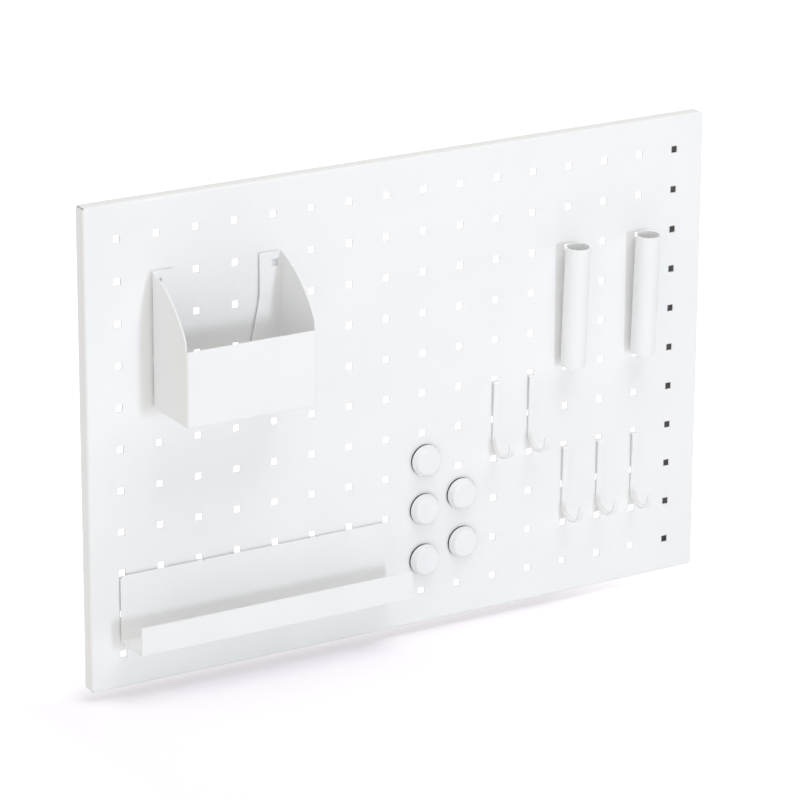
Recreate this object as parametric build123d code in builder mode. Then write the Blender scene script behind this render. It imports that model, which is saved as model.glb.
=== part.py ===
"""Perforated steel wall board with a hung pocket, a pen tray, pen tubes, J hooks and magnets.

Sizes are in millimetres. X runs right along the board, Z runs up and Y runs into the wall.
The origin is the centre of the four keyholes, on the wall face of the board's rear flanges.
Columns of holes are counted from 0 at the left, or from 0 at the right where a name says so,
and rows from 0 at the top.
"""
from build123d import *
import os
from math import cos, radians, sin, tan

os.makedirs("parts", exist_ok=True)

# ---------------------------------------------------------------- board
board_width = 500.0
board_height = 350.0
board_depth = 12.0
board_sheet = 1.0
board_bend = 2.0  # outside radius of the folded edges
board_corner = 3.0  # ground corners, seen from the front
least_margin = 25.0  # from the board's edge to the middle of the outer holes
pitch = 30.0
hole = 5.0  # side of the square holes
side_flange = 25.0  # width of the rear flanges with the keyholes
end_flange = 10.0  # width of the rear flanges along the top and bottom
flange_seam = 1.0
keyhole_from_edge = 11.0
keyhole_from_end = 50.0
keyhole_head = 9.0
keyhole_shank = 4.4
keyhole_rise = 9.0

# ---------------------------------------------------------------- hang tabs
tab_side_gap = 0.25  # between a tab and each side of its hole
seat_gap = 0.2  # between a tab's neck and the hole's bottom edge
tab_back_gap = 0.3  # between the sheet's rear face and the turned-down end
tab_release = 0.8  # what a lifted tab end clears when it is pulled out
tab_bend = 0.5  # inside radius
relief = 0.3  # slits beside a tab

# ---------------------------------------------------------------- pocket
accessory_sheet = 1.0
accessory_bend = 1.5  # outside radius of the pocket's and the tray's folds
plate_gap = 1.2  # between the board and the plates that hang on it
pocket_column = 1
pocket_row = 1
pocket_width = 100.0
pocket_depth = 51.0
pocket_height = 98.0
pocket_front = 54.5
pocket_corner = 2.5  # outside radius of the upright corners
pocket_above_hole = 4.0
pocket_side_rise = 5.5  # bulge of the scooped side edge over its chord
pocket_side_step = 6.0  # upright edge above the front wall's rim
pocket_side_corner = 4.0
pocket_arm = 17.0
pocket_arm_straight = 31.0
pocket_notch_taper = 12.0  # degrees
pocket_notch_bottom = 20.0  # height of the rear wall that is left
pocket_notch_radius = 16.0  # at its foot
pocket_notch_shoulder = 60.0  # radius where the taper begins

# ---------------------------------------------------------------- pen tray
tray_column = 2
tray_row = 8
tray_length = 215.0
tray_height = 49.0
tray_depth = 32.0
tray_lip = 21.0
tray_corner = 3.0

# ---------------------------------------------------------------- pen tubes
tube_columns_from_right = (3, 1)
tube_row = 2
tube_diameter = 18.0
tube_wall = 1.0
tube_length = 90.0
tube_above_hole = 4.0
tube_lean = 2.6  # degrees, top outwards
tube_foot_gap = 0.6  # between the tube's foot and the board
tube_base = 1.5
hanger_sheet = 1.2
hanger_length = 42.0
hanger_saddle = 0.3  # how deep the tube sits in its hanger strip
weld_gap = 0.02

# ---------------------------------------------------------------- hooks
hook_places = ((5, 5), (4, 5), (3, 7), (2, 7), (1, 7))  # column from the right, row
hook_sheet = 1.5
hook_drop = 55.0  # from the middle of the hole to the lowest point
hook_radius = 12.25  # outside radius of the curl
hook_tip = 2.5
hook_top_gap = 2.0
hook_foot_gap = 0.6
hook_tip_round = 1.6

# ---------------------------------------------------------------- magnets
magnet_diameter = 23.0  # at the cap's rim
magnet_height = 7.0
magnet_taper = 20.0  # degrees, of the cap's side
magnet_edge = 1.5  # radius round the cap's face
magnet_recess = 0.1  # how much smaller than the rim the magnet's radius is
magnet_depth = 4.5  # thickness of the magnet
magnet_wall = 1.2  # of the cap, where the magnet is stepped to go into it
magnet_standoff = 1.8  # between the cap's rim and the board
magnet_seat = 0.1  # between the magnet's face and the board
magnet_fit = 0.05
# centre of each magnet, right of the tray's end and above its top edge
magnet_places = ((29.5, 41.0), (28.7, 4.0), (59.3, 10.5), (60.6, -26.8), (28.6, -34.5))

# ---------------------------------------------------------------- worked out from the above
columns = int((board_width - 2 * least_margin) // pitch) + 1
rows = int((board_height - 2 * least_margin) // pitch) + 1
front = -board_depth  # the sheet's front face
behind = front + board_sheet + tab_back_gap  # front side of a turned-down tab end
tab_width = hole - 2 * tab_side_gap
keyhole_x = board_width / 2 - keyhole_from_edge
keyhole_z = board_height / 2 - keyhole_from_end


def column_x(column):
    return (column - (columns - 1) / 2) * pitch


def column_x_from_right(column):
    return -column_x(column)


def row_z(row):
    return ((rows - 1) / 2 - row) * pitch


def seat_z(row):
    """Underside of a tab's neck in a hole of this row."""
    return row_z(row) - hole / 2 + seat_gap


def tab_drop(thickness):
    """How far a tab's end turns down, so that it still comes out through its hole."""
    return hole - thickness - tab_release


def bent_strip(x, width, thickness, side, points, radii, curl=0, tip=0):
    """A strip of sheet about x, bent through points (Y, Z), with an optional half-round curl."""
    with BuildSketch(Plane.YZ.offset(x - width / 2)) as profile:
        with BuildLine():
            path = FilletPolyline(*points, radius=radii)
            if curl:
                arc = JernArc(path @ 1, path % 1, curl, -180)
                Line(arc @ 1, arc @ 1 + (arc % 1) * tip)
            offset(amount=thickness, side=side, closed=True)
        make_face()
    extrude(profile.sketch, amount=width)


# ================================================================ board
with BuildPart() as board_panel:
    with BuildSketch(Plane.XZ):
        RectangleRounded(board_width, board_height, board_corner)
    extrude(amount=board_depth)
    fillet(board_panel.faces().sort_by(Axis.Y)[0].edges(), board_bend)
    fillet(board_panel.faces().sort_by(Axis.Y)[-1].edges(), board_bend)
    # hollow inside, with walls of one sheet all round
    with BuildPart(mode=Mode.PRIVATE) as board_inside:
        inside_depth = board_depth - 2 * board_sheet
        with BuildSketch(Plane.XZ.offset(board_sheet)):
            RectangleRounded(
                board_width - 2 * board_sheet, board_height - 2 * board_sheet, board_corner - board_sheet
            )
        extrude(amount=inside_depth)
        fillet(board_inside.faces().sort_by(Axis.Y)[0].edges(), board_bend - board_sheet)
        fillet(board_inside.faces().sort_by(Axis.Y)[-1].edges(), board_bend - board_sheet)
    add(board_inside.part, mode=Mode.SUBTRACT)
    # open back between the folded flanges, with a seam at each end of the short ones
    window_width = board_width - 2 * side_flange
    window_height = board_height - 2 * end_flange
    seam_length = end_flange - board_bend
    with BuildSketch(Plane.XZ):
        Rectangle(window_width, window_height)
        with GridLocations(window_width - flange_seam, window_height + seam_length, 2, 2):
            Rectangle(flange_seam, seam_length)
    extrude(amount=board_sheet, mode=Mode.SUBTRACT)
    # keyholes for four wall screws
    with BuildSketch(Plane.XZ):
        with GridLocations(2 * keyhole_x, 2 * keyhole_z, 2, 2):
            Circle(keyhole_head / 2)
            with Locations((0, keyhole_rise / 2)):
                Rectangle(keyhole_shank, keyhole_rise)
            with Locations((0, keyhole_rise)):
                Circle(keyhole_shank / 2)
    extrude(amount=board_sheet, mode=Mode.SUBTRACT)
    # grid of square holes
    with BuildSketch(Plane.XZ.offset(board_depth)):
        with GridLocations(pitch, pitch, columns, rows):
            Rectangle(hole, hole)
    extrude(amount=-board_sheet, mode=Mode.SUBTRACT)
board_panel.part.label = "board_panel"


# ================================================================ pocket
pocket_span = int((pocket_width - hole) // pitch)  # pitches between its two tabs
pocket_tabs = (column_x(pocket_column), column_x(pocket_column + pocket_span))
pocket_x = sum(pocket_tabs) / 2
pocket_top = row_z(pocket_row) + pocket_above_hole
pocket_bottom = pocket_top - pocket_height
pocket_rear = front - plate_gap
pocket_face = front - plate_gap - pocket_depth
pocket_rim = pocket_bottom + pocket_front
pocket_seat = seat_z(pocket_row)

with BuildPart() as pocket_box:
    with BuildSketch(Plane.XY.offset(pocket_bottom)):
        with Locations((pocket_x, (pocket_rear + pocket_face) / 2)):
            RectangleRounded(pocket_width, pocket_depth, pocket_corner)
    extrude(amount=pocket_height)
    fillet(pocket_box.faces().sort_by(Axis.Z)[0].edges(), accessory_bend)
    offset(amount=-accessory_sheet, openings=pocket_box.faces().sort_by(Axis.Z)[-1])
    # scooped side walls: an arc from the rear arms down to a short upright edge at the front wall
    scoop_rear = pocket_rear - pocket_corner
    scoop_front = pocket_face + pocket_corner
    scoop_foot = pocket_rim + pocket_side_step
    chord_y = scoop_front - scoop_rear
    chord_z = scoop_foot - pocket_top
    chord = (chord_y**2 + chord_z**2) ** 0.5
    scoop_middle = (
        scoop_rear + chord_y / 2 + pocket_side_rise * chord_z / chord,
        pocket_top + chord_z / 2 - pocket_side_rise * chord_y / chord,
    )
    with BuildSketch(Plane.YZ.offset(pocket_x - pocket_width / 2)) as scoop:
        with BuildLine():
            ThreePointArc((scoop_rear, pocket_top), scoop_middle, (scoop_front, scoop_foot))
            Polyline(
                (scoop_front, scoop_foot),
                (scoop_front, pocket_rim),
                (pocket_face - accessory_sheet, pocket_rim),
                (pocket_face - accessory_sheet, pocket_top + accessory_sheet),
                (scoop_rear, pocket_top + accessory_sheet),
                (scoop_rear, pocket_top),
            )
        make_face()
        fillet(scoop.vertices().sort_by_distance((scoop_front, scoop_foot))[0], pocket_side_corner)
    extrude(amount=pocket_width, mode=Mode.SUBTRACT)
    # notch in the rear wall, between two arms
    notch_half = pocket_width / 2 - pocket_arm
    notch_foot = pocket_bottom + pocket_notch_bottom
    notch_shoulder = pocket_top - pocket_arm_straight
    notch_foot_half = notch_half - (notch_shoulder - notch_foot) * tan(radians(pocket_notch_taper))
    with BuildSketch(Plane.XZ.offset(-pocket_rear)):
        with BuildLine():
            FilletPolyline(
                (pocket_x - notch_half, pocket_top + accessory_sheet),
                (pocket_x - notch_half, notch_shoulder),
                (pocket_x - notch_foot_half, notch_foot),
                (pocket_x + notch_foot_half, notch_foot),
                (pocket_x + notch_half, notch_shoulder),
                (pocket_x + notch_half, pocket_top + accessory_sheet),
                radius=(
                    pocket_notch_shoulder,
                    pocket_notch_radius,
                    pocket_notch_radius,
                    pocket_notch_shoulder,
                ),
            )
            Line(
                (pocket_x + notch_half, pocket_top + accessory_sheet),
                (pocket_x - notch_half, pocket_top + accessory_sheet),
            )
        make_face()
    extrude(amount=accessory_sheet, mode=Mode.SUBTRACT)
    # a tab lanced out of each arm, and the window that it leaves
    neck_length = plate_gap + board_sheet + tab_back_gap
    window_top = pocket_seat + accessory_sheet + tab_bend
    window_drop = neck_length + tab_drop(accessory_sheet)
    with BuildSketch(Plane.XZ.offset(-pocket_rear)):
        for x in pocket_tabs:
            with Locations((x, window_top)):
                Rectangle(tab_width + 2 * relief, window_drop, align=(Align.CENTER, Align.MAX))
    extrude(amount=accessory_sheet, mode=Mode.SUBTRACT)
    for x in pocket_tabs:
        bent_strip(
            x,
            tab_width,
            accessory_sheet,
            Side.LEFT,
            [
                (pocket_rear - accessory_sheet, window_top + relief),
                (pocket_rear - accessory_sheet, pocket_seat),
                (behind, pocket_seat),
                (behind, pocket_seat - tab_drop(accessory_sheet)),
            ],
            (tab_bend + accessory_sheet, tab_bend),
        )
pocket_box.part.label = "pocket_box"

# ================================================================ pen tray
tray_span = int(tray_length / 2 // pitch)  # pitches between its two tabs
tray_tabs = (column_x(tray_column), column_x(tray_column + tray_span))
tray_x = sum(tray_tabs) / 2
tray_rear = front - plate_gap
tray_face = front - plate_gap - tray_depth
tray_seat = seat_z(tray_row)
tray_top = tray_seat + accessory_sheet
tray_bottom = tray_top - tray_height

with BuildPart() as pen_tray:
    bent_strip(
        tray_x,
        tray_length,
        accessory_sheet,
        Side.LEFT,
        [
            (tray_face, tray_bottom + tray_lip),
            (tray_face, tray_bottom),
            (tray_rear, tray_bottom),
            (tray_rear, tray_top),
        ],
        accessory_bend,
    )
    fillet(
        pen_tray.edges().filter_by(Axis.Y).group_by(Axis.Z)[-1],
        tray_corner,
    )
    # slits beside each tab, then the tab itself, bent back from the plate's top edge
    with BuildSketch(Plane.XZ.offset(-tray_rear)):
        for x in tray_tabs:
            with Locations((x, tray_top)):
                Rectangle(
                    tab_width + 2 * relief,
                    accessory_sheet + tab_bend + relief,
                    align=(Align.CENTER, Align.MAX),
                )
    extrude(amount=accessory_sheet, mode=Mode.SUBTRACT)
    for x in tray_tabs:
        bent_strip(
            x,
            tab_width,
            accessory_sheet,
            Side.RIGHT,
            [
                (behind, tray_seat - tab_drop(accessory_sheet)),
                (behind, tray_seat),
                (tray_rear, tray_seat),
                (tray_rear, tray_seat - tab_bend - 2 * relief),
            ],
            tab_bend,
        )
pen_tray.part.label = "pen_tray"


# ================================================================ pen tubes
def tube_frame(column_from_right):
    """Plane across the tube's foot: its normal runs up the leaning axis."""
    x = column_x_from_right(column_from_right)
    lean = radians(tube_lean)
    foot_z = row_z(tube_row) + tube_above_hole - tube_length * cos(lean)
    foot_y = front - tube_foot_gap - tube_diameter / 2 * cos(lean)
    return Plane(origin=(x, foot_y, foot_z), x_dir=(1, 0, 0), z_dir=(0, -sin(lean), cos(lean)))


tube_parts = []
for number, column in enumerate(tube_columns_from_right, start=1):
    foot = tube_frame(column)
    with BuildPart() as barrel:
        with BuildSketch(foot):
            Circle(tube_diameter / 2)
            Circle(tube_diameter / 2 - tube_wall, mode=Mode.SUBTRACT)
        extrude(amount=tube_length)
    barrel.part.label = f"tube_{number}_barrel"

    with BuildPart() as base:
        with BuildSketch(foot):
            Circle(tube_diameter / 2 - tube_wall - weld_gap)
        extrude(amount=tube_base)
    base.part.label = f"tube_{number}_base"

    # strip welded up the back of the tube, in the tube's own leaning plane, ending in a tab
    lean = radians(tube_lean)
    tube_seat = seat_z(tube_row)
    neck_up = (tube_seat - foot.origin.Z) / cos(lean)
    back_y = foot.origin.Y + (tube_diameter / 2 - hanger_saddle + hanger_sheet) / cos(lean)
    hanger_y = back_y - (tube_seat - foot.origin.Z) * tan(lean)  # rear face at the neck
    hanger_foot = (
        hanger_y + hanger_length * sin(lean),
        tube_seat - hanger_length * cos(lean),
    )
    with BuildPart() as hanger:
        bent_strip(
            foot.origin.X,
            tab_width,
            hanger_sheet,
            Side.RIGHT,
            [
                (behind, tube_seat - tab_drop(hanger_sheet)),
                (behind, tube_seat),
                (hanger_y, tube_seat),
                hanger_foot,
            ],
            tab_bend,
        )
        with BuildSketch(foot):
            Circle(tube_diameter / 2 + weld_gap)
        extrude(amount=tube_length, mode=Mode.SUBTRACT)
    hanger.part.label = f"tube_{number}_hanger"
    tube_parts += [barrel, base, hanger]


# ================================================================ hooks
hooks = []
for number, (column, row) in enumerate(hook_places, start=1):
    hook_x = column_x_from_right(column)
    hook_seat = seat_z(row)
    curl_z = row_z(row) - hook_drop + hook_radius
    with BuildPart() as hook:
        bent_strip(
            hook_x,
            tab_width,
            hook_sheet,
            Side.RIGHT,
            [
                (behind, hook_seat - tab_drop(hook_sheet)),
                (behind, hook_seat),
                (front - hook_top_gap, hook_seat),
                (front - hook_foot_gap, curl_z),
            ],
            tab_bend,
            curl=hook_radius,
            tip=hook_tip,
        )
        end_edges = hook.edges().filter_by(lambda edge: abs(edge.length - hook_sheet) < 0.01)
        fillet(end_edges.sort_by(Axis.Y)[:2], hook_tip_round)
    hook.part.label = f"hook_{number}"
    hooks.append(hook)


# ================================================================ magnets
tray_end = tray_x + tray_length / 2
rim_radius = magnet_diameter / 2
core_radius = rim_radius - magnet_recess
bore_radius = rim_radius - magnet_wall - (magnet_depth - magnet_standoff) * tan(radians(magnet_taper))
face_radius = rim_radius - (magnet_height - magnet_standoff) * tan(radians(magnet_taper))
magnets = []
for number, (right, up) in enumerate(magnet_places, start=1):
    middle = Vector(tray_end + right, front, tray_top + up)
    # half sections: X is the distance from the axis, Y the distance from the board, outwards
    half = Plane(middle, x_dir=(1, 0, 0), z_dir=(0, 0, -1))
    with BuildPart() as cap:
        with BuildSketch(half) as section:
            with BuildLine():
                Polyline(
                    (0, magnet_height),
                    (face_radius, magnet_height),
                    (rim_radius, magnet_standoff),
                    (bore_radius, magnet_standoff),
                    (bore_radius, magnet_depth),
                    (0, magnet_depth),
                    (0, magnet_height),
                )
            make_face()
            fillet(section.vertices().sort_by_distance((face_radius, magnet_height))[0], magnet_edge)
        revolve(axis=Axis(middle, (0, 1, 0)))
    cap.part.label = f"magnet_cap_{number}"

    with BuildPart() as core:
        with BuildSketch(half):
            with BuildLine():
                Polyline(
                    (0, magnet_seat),
                    (core_radius, magnet_seat),
                    (core_radius, magnet_standoff - magnet_fit),
                    (bore_radius - magnet_fit, magnet_standoff - magnet_fit),
                    (bore_radius - magnet_fit, magnet_depth - magnet_fit),
                    (0, magnet_depth - magnet_fit),
                    (0, magnet_seat),
                )
            make_face()
        revolve(axis=Axis(middle, (0, 1, 0)))
    core.part.label = f"magnet_core_{number}"
    magnets += [cap, core]


for piece in [board_panel, pocket_box, pen_tray, *tube_parts, *hooks, *magnets]:
    export_step(piece.part, f"parts/{piece.part.label}.step")
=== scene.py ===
import math

import bpy
from mathutils import Matrix, Vector


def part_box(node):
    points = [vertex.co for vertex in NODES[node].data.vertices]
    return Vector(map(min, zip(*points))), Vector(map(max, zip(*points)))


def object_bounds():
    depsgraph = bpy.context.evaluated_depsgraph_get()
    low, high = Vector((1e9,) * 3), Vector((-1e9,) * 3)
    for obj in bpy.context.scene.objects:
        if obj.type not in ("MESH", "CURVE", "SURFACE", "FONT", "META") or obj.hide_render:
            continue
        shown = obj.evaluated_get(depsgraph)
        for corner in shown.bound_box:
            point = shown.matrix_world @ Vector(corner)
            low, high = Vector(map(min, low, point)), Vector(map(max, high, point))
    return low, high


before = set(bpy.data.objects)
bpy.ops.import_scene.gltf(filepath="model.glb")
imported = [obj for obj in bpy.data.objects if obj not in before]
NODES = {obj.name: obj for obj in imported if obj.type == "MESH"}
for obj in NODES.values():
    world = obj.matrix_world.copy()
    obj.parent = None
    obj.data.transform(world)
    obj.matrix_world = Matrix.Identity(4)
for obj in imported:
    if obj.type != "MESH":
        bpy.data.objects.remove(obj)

CAD_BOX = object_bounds()
MM = 0.001

# ---------------------------------------------------------------- camera
# The photograph's view, found by fitting the grid of holes; angles in degrees, lengths in metres.
CAMERA_AZIMUTH = -30.618
CAMERA_ELEVATION = 19.044
CAMERA_ROLL = 0.272
CAMERA_DISTANCE = 3.0166
CAMERA_TARGET = Vector((-0.00319, -0.01102, -0.00226))
CAMERA_LENS = 192.08  # mm
CAMERA_SENSOR = 36  # mm wide
CAMERA_CLIP_END = 50

# ---------------------------------------------------------------- finish
COAT_LIGHT = (0.928, 0.930, 0.929, 1)
COAT_DARK = (0.912, 0.914, 0.913, 1)
PAINTED_SHADE_LIGHT = (0.530, 0.524, 0.524, 1)  # painted shade: the white coat inside the folded board, darkened to grey for the shade it lies in
PAINTED_SHADE_DARK = (0.490, 0.484, 0.484, 1)
CAP_LIGHT = (0.910, 0.918, 0.923, 1)
CAP_DARK = (0.890, 0.898, 0.905, 1)
FERRITE_LIGHT = (0.030, 0.030, 0.033, 1)
FERRITE_DARK = (0.012, 0.012, 0.014, 1)
COLOUR_STOPS = (0.35, 0.65)  # noise values that give the dark and the light colour

# scale and detail of each noise, with its roughness where that isn't the usual 0.5
COAT_CLOUD = (18, 3)
COAT_PEEL = (900, 2)
COAT_GRAIN = (3200, 1)
CAP_CLOUD = (60, 2)
CAP_TEXTURE = (1500, 2)
FERRITE_GRAIN = (2500, 3, 0.7)

# roughness at the ends of the noise's usual range
NOISE_RANGE = (0.3, 0.7)
COAT_ROUGHNESS = (0.42, 0.52)
CAP_ROUGHNESS = (0.36, 0.46)
FERRITE_ROUGHNESS = (0.55, 0.8)
COAT_SPECULAR = 0.4

# distance and strength of each bump
PEEL_BUMP = (0.03 * MM, 0.6)
GRAIN_BUMP = (0.008 * MM, 0.6)
CAP_BUMP = (0.01 * MM, 0.5)
FERRITE_BUMP = (0.02 * MM, 0.8)

# Painted shade: the grey starts in the middle of the sheet at the board's four edges, and a hair
# outside the inner faces of the sheet in front and of the flanges at the rear.
SHEET = 1 * MM
PAINTED_SHADE_MARGIN = 0.1 * MM

# ---------------------------------------------------------------- light
WHITE = (1, 1, 1, 1)
WORLD_LIGHT = (1.0, 0.99, 0.965, 1)  # colour of the surround as it lights things
WORLD_SEEN = 1.0  # its strength for the camera and reflections, where 1 is white
# its strength as it lights things, by where it stands as seen from the front
WORLD_FRONT_LEFT, WORLD_FRONT_RIGHT = 0.80, 0.22
WORLD_BACK_LEFT, WORLD_BACK_RIGHT = 0.75, 0.45
WORLD_TOP = 0.74
WORLD_BLEND = 0.3  # X or Y of the direction at which the change between the quarters ends
WORLD_TOP_FROM, WORLD_TOP_TO = 0.6, 0.85  # Z of the direction over which they change to the top

FLOOR_SIZE = 30
FLOOR_GAP = 8 * MM  # from the board down to the floor
FLOOR_COLOUR = (0.93, 0.93, 0.93, 1)  # as it lights the object
FLOOR_SEEN = (0.95, 0.91, 0.97, 1)  # as the camera sees it
# Painted light on the floor as the camera sees it: a weak lift on a patch in front of the board,
# where its shadow shows, and a strong one beyond, which paints the shadows there out.
FLOOR_LIFT_NEAR = 0.2  # added to what the camera sees of it on a patch in front of the board
FLOOR_LIFT_FAR = 0.7  # and beyond that patch
# the middle of the patch in X and in Y, and how far from it the change starts and ends
FLOOR_PATCH = ((-0.08, 0.20, 0.36), (-0.15, 0.15, 0.21))

# azimuth and elevation in degrees, distance, width and height in metres, power, colour
KEY = (7, 5, 3.1, 0.30, 0.60, 19, (0.91, 1.0, 1.14))
OVERHEAD = (10, 64, 2.2, 1.2, 1.2, 11, (1, 1, 1))


# ---------------------------------------------------------------- nodes
def put(tree, given, socket):
    """Links given to the socket if it is a socket itself, else sets it as the socket's value."""
    if isinstance(given, bpy.types.NodeSocket):
        tree.links.new(given, socket)
    else:
        socket.default_value = given


def maths(tree, operation, *given):
    """The result of a Math node on one or two values, each a number or a socket."""
    node = tree.nodes.new("ShaderNodeMath")
    node.operation = operation
    for socket, value in zip(node.inputs, given):
        put(tree, value, socket)
    return node.outputs[0]


def span(tree, value, start, end, low, high):
    """low up to start, high from end on, and a straight change between.

    All but value may be numbers or sockets.
    """
    node = tree.nodes.new("ShaderNodeMapRange")
    tree.links.new(value, node.inputs["Value"])
    for name, given in (("From Min", start), ("From Max", end), ("To Min", low), ("To Max", high)):
        put(tree, given, node.inputs[name])
    return node.outputs["Result"]


def mix(tree, share, first, second):
    """The colour first where share is 0, and second where it is 1."""
    node = tree.nodes.new("ShaderNodeMix")
    node.data_type = "RGBA"
    tree.links.new(share, node.inputs["Factor"])
    put(tree, first, node.inputs["A"])
    put(tree, second, node.inputs["B"])
    return node.outputs["Result"]


def coordinates(tree, kind):
    return tree.nodes.new("ShaderNodeTexCoord").outputs[kind]


def split(tree, place):
    """The X, Y and Z of a position."""
    node = tree.nodes.new("ShaderNodeSeparateXYZ")
    tree.links.new(place, node.inputs[0])
    return node.outputs


def noise(tree, place, scale, detail, roughness=0.5):
    node = tree.nodes.new("ShaderNodeTexNoise")
    node.inputs["Scale"].default_value = scale
    node.inputs["Detail"].default_value = detail
    node.inputs["Roughness"].default_value = roughness
    tree.links.new(place, node.inputs["Vector"])
    return node.outputs["Fac"]


def ramp(tree, value, dark, light):
    """A colour ramp on value, from dark to light."""
    node = tree.nodes.new("ShaderNodeValToRGB")
    for element, position, colour in zip(node.color_ramp.elements, COLOUR_STOPS, (dark, light)):
        element.position = position
        element.color = colour
    tree.links.new(value, node.inputs["Fac"])
    return node.outputs["Color"]


def bump(tree, height, distance, strength, before=None):
    """The normal after a bump, laid over the one before it if there is one."""
    node = tree.nodes.new("ShaderNodeBump")
    node.inputs["Distance"].default_value = distance
    node.inputs["Strength"].default_value = strength
    tree.links.new(height, node.inputs["Height"])
    if before is not None:
        tree.links.new(before, node.inputs["Normal"])
    return node.outputs["Normal"]


def within(tree, value, low, high):
    """1 where value lies between low and high, else 0."""
    above = maths(tree, "GREATER_THAN", value, low)
    below = maths(tree, "LESS_THAN", value, high)
    return maths(tree, "MULTIPLY", above, below)


def inside_box(tree, place, low, high):
    """1 where place, a position on the object, lies inside the box low..high, else 0."""
    x, y, z = (within(tree, *limits) for limits in zip(split(tree, place), low, high))
    return maths(tree, "MULTIPLY", maths(tree, "MULTIPLY", x, y), z)


def seen_directly(tree):
    """1 for rays from the camera, glossy and transmitted ones, 0 for those that light things."""
    path = tree.nodes.new("ShaderNodeLightPath")
    mirrored = maths(tree, "MAXIMUM", path.outputs["Is Camera Ray"], path.outputs["Is Glossy Ray"])
    return maths(tree, "MAXIMUM", mirrored, path.outputs["Is Transmission Ray"])


# ---------------------------------------------------------------- materials
def new_material(name):
    """A material with a Principled shader and nothing else; returns it, its tree and its shader."""
    material = bpy.data.materials.new(name)
    material.use_nodes = True
    tree = material.node_tree
    return material, tree, tree.nodes["Principled BSDF"]


def powder_coat(name, painted_shade_box=None):
    """Fine-grained white powder coat: orange peel, faint clouding and uneven gloss.

    Inside the box given, two corners in metres, the coat is darkened to grey, painted shade on the
    board's inner faces.
    """
    material, tree, shader = new_material(name)
    place = coordinates(tree, "Object")
    cloud = noise(tree, place, *COAT_CLOUD)
    peel = noise(tree, place, *COAT_PEEL)
    grain = noise(tree, place, *COAT_GRAIN)
    colour = ramp(tree, cloud, COAT_DARK, COAT_LIGHT)
    if painted_shade_box is not None:
        # painted shade: grey where the board's inner faces lie in shade
        painted_shade_colour = ramp(tree, cloud, PAINTED_SHADE_DARK, PAINTED_SHADE_LIGHT)
        colour = mix(tree, inside_box(tree, place, *painted_shade_box), colour, painted_shade_colour)
    tree.links.new(colour, shader.inputs["Base Color"])
    roughness = span(tree, peel, *NOISE_RANGE, *COAT_ROUGHNESS)
    tree.links.new(roughness, shader.inputs["Roughness"])
    normal = bump(tree, peel, *PEEL_BUMP)
    normal = bump(tree, grain, *GRAIN_BUMP, normal)
    tree.links.new(normal, shader.inputs["Normal"])
    shader.inputs["Specular IOR Level"].default_value = COAT_SPECULAR
    return material


def plain_finish(name, colour_noise, surface_noise, dark, light, roughness, bumps):
    """A material clouded by one noise, with its gloss and bump from another, or from the same."""
    material, tree, shader = new_material(name)
    place = coordinates(tree, "Object")
    cloud = noise(tree, place, *colour_noise)
    texture = cloud if surface_noise is colour_noise else noise(tree, place, *surface_noise)
    tree.links.new(ramp(tree, cloud, dark, light), shader.inputs["Base Color"])
    gloss = span(tree, texture, *NOISE_RANGE, *roughness)
    tree.links.new(gloss, shader.inputs["Roughness"])
    tree.links.new(bump(tree, texture, *bumps), shader.inputs["Normal"])
    return material


def moulded_cap():
    """Smooth white moulded cap, a little glossier than the coated steel."""
    return plain_finish(
        "white_cap", CAP_CLOUD, CAP_TEXTURE, CAP_DARK, CAP_LIGHT, CAP_ROUGHNESS, CAP_BUMP
    )


def ferrite():
    """Dull dark sintered ferrite, slightly grainy."""
    return plain_finish(
        "ferrite", FERRITE_GRAIN, FERRITE_GRAIN,
        FERRITE_DARK, FERRITE_LIGHT, FERRITE_ROUGHNESS, FERRITE_BUMP,
    )


def board_inside():
    """The two corners of the room inside the folded board, with the faces that bound it."""
    low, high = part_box("board_panel")
    half = SHEET / 2
    front = low.y + SHEET - PAINTED_SHADE_MARGIN
    rear = high.y - SHEET + PAINTED_SHADE_MARGIN
    return (
        Vector((low.x + half, front, low.z + half)),
        Vector((high.x - half, rear, high.z - half)),
    )


def dress_all():
    """Gives every CAD node its material."""
    coat = powder_coat("white_powder_coat")
    # the board's inner faces get painted shade
    board_coat = powder_coat("white_powder_coat_board", board_inside())
    cap, magnet = moulded_cap(), ferrite()
    for name, node in NODES.items():
        if name.startswith("magnet_cap"):
            material = cap
        elif name.startswith("magnet_core"):
            material = magnet
        elif name == "board_panel":
            material = board_coat
        else:
            material = coat
        node.data.materials.clear()
        node.data.materials.append(material)


# ---------------------------------------------------------------- stage
def direction(azimuth, elevation):
    """The unit vector towards a place round the object; azimuth 0 is the front, and + the right."""
    a, e = math.radians(azimuth), math.radians(elevation)
    return Vector((math.sin(a) * math.cos(e), -math.cos(a) * math.cos(e), math.sin(e)))


def make_camera():
    data = bpy.data.cameras.new("camera")
    data.lens = CAMERA_LENS
    data.sensor_width = CAMERA_SENSOR
    data.clip_end = CAMERA_CLIP_END
    camera = bpy.data.objects.new("camera", data)
    back = direction(CAMERA_AZIMUTH, CAMERA_ELEVATION)
    place = Matrix.Translation(CAMERA_TARGET + back * CAMERA_DISTANCE)
    level = (-back).to_track_quat("-Z", "Y").to_matrix().to_4x4()
    roll = Matrix.Rotation(math.radians(CAMERA_ROLL), 4, "Z")
    camera.matrix_world = place @ level @ roll
    bpy.context.scene.collection.objects.link(camera)
    bpy.context.scene.camera = camera


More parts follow.
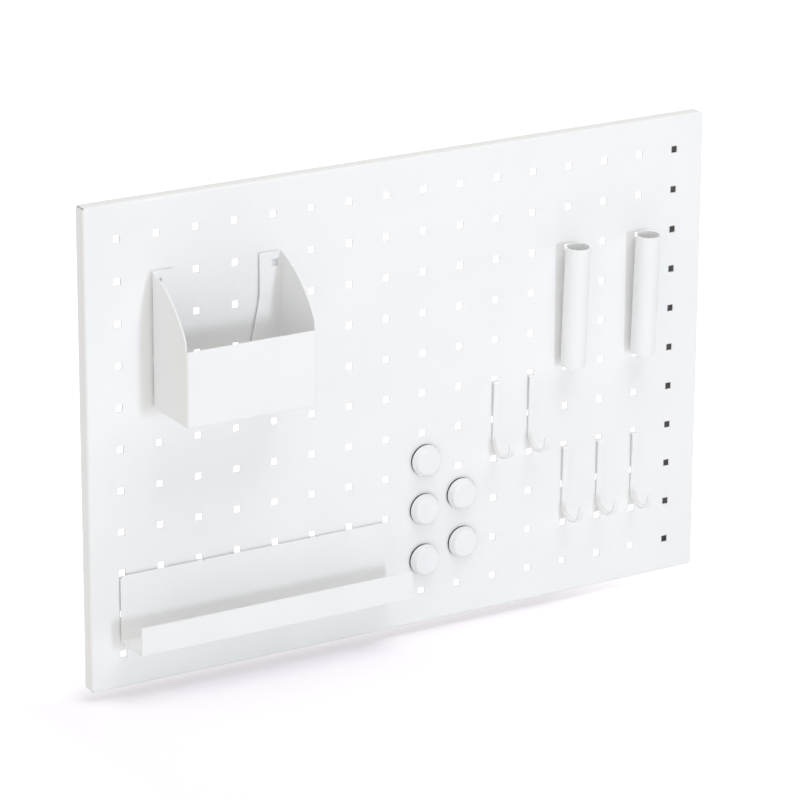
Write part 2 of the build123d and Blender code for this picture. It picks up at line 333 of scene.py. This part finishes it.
def make_world():
    """A plain surround, darkest in front on the right, which shows as white."""
    world = bpy.data.worlds.new("studio")
    bpy.context.scene.world = world
    world.use_nodes = True
    tree = world.node_tree
    background = tree.nodes["Background"]
    x, y, z = split(tree, coordinates(tree, "Generated"))
    left = span(tree, y, -WORLD_BLEND, WORLD_BLEND, WORLD_FRONT_LEFT, WORLD_BACK_LEFT)
    right = span(tree, y, -WORLD_BLEND, WORLD_BLEND, WORLD_FRONT_RIGHT, WORLD_BACK_RIGHT)
    around = span(tree, x, -WORLD_BLEND, WORLD_BLEND, left, right)
    lights = span(tree, z, WORLD_TOP_FROM, WORLD_TOP_TO, around, WORLD_TOP)
    seen = seen_directly(tree)
    tree.links.new(span(tree, seen, 0, 1, lights, WORLD_SEEN), background.inputs["Strength"])
    tree.links.new(mix(tree, seen, WORLD_LIGHT, WHITE), background.inputs["Color"])


def make_floor(height):
    """A pale floor that keeps the object's shadow on a patch in front of the board.

    What the camera sees of it is lifted to white beyond that patch, painted light that hides the
    shadows there.
    """
    bpy.ops.mesh.primitive_plane_add(size=FLOOR_SIZE, location=(0, 0, height))
    floor = bpy.context.object
    floor.name = "floor"
    material = bpy.data.materials.new("floor")
    material.use_nodes = True
    tree = material.node_tree
    tree.nodes.clear()
    seen = seen_directly(tree)
    diffuse = tree.nodes.new("ShaderNodeBsdfDiffuse")
    tree.links.new(mix(tree, seen, FLOOR_COLOUR, FLOOR_SEEN), diffuse.inputs["Color"])
    # painted light: the lift whitens the floor's shadows beyond the patch in front of the board
    lifts = []
    for place, (middle, start, end) in zip(split(tree, coordinates(tree, "Object")), FLOOR_PATCH):
        away = maths(tree, "ABSOLUTE", maths(tree, "SUBTRACT", place, middle))
        lifts.append(span(tree, away, start, end, FLOOR_LIFT_NEAR, FLOOR_LIFT_FAR))
    glow = tree.nodes.new("ShaderNodeEmission")
    lift = maths(tree, "MULTIPLY", seen, maths(tree, "MAXIMUM", *lifts))
    tree.links.new(lift, glow.inputs["Strength"])
    both = tree.nodes.new("ShaderNodeAddShader")
    tree.links.new(diffuse.outputs[0], both.inputs[0])
    tree.links.new(glow.outputs[0], both.inputs[1])
    output = tree.nodes.new("ShaderNodeOutputMaterial")
    tree.links.new(both.outputs[0], output.inputs["Surface"])
    floor.data.materials.append(material)


def add_light(name, azimuth, elevation, distance, width, height, power, colour):
    """A rectangular soft box that faces the origin."""
    data = bpy.data.lights.new(name, "AREA")
    data.shape = "RECTANGLE"
    data.size, data.size_y = width, height
    data.energy = power
    data.color = colour
    light = bpy.data.objects.new(name, data)
    back = direction(azimuth, elevation)
    light.location = back * distance
    light.rotation_mode = "QUATERNION"
    light.rotation_quaternion = (-back).to_track_quat("-Z", "Y")
    bpy.context.scene.collection.objects.link(light)


make_camera()
dress_all()
make_world()
make_floor(CAD_BOX[0].z - FLOOR_GAP)
add_light("key", *KEY)
add_light("overhead", *OVERHEAD)

bpy.context.scene.view_settings.view_transform = "Standard"
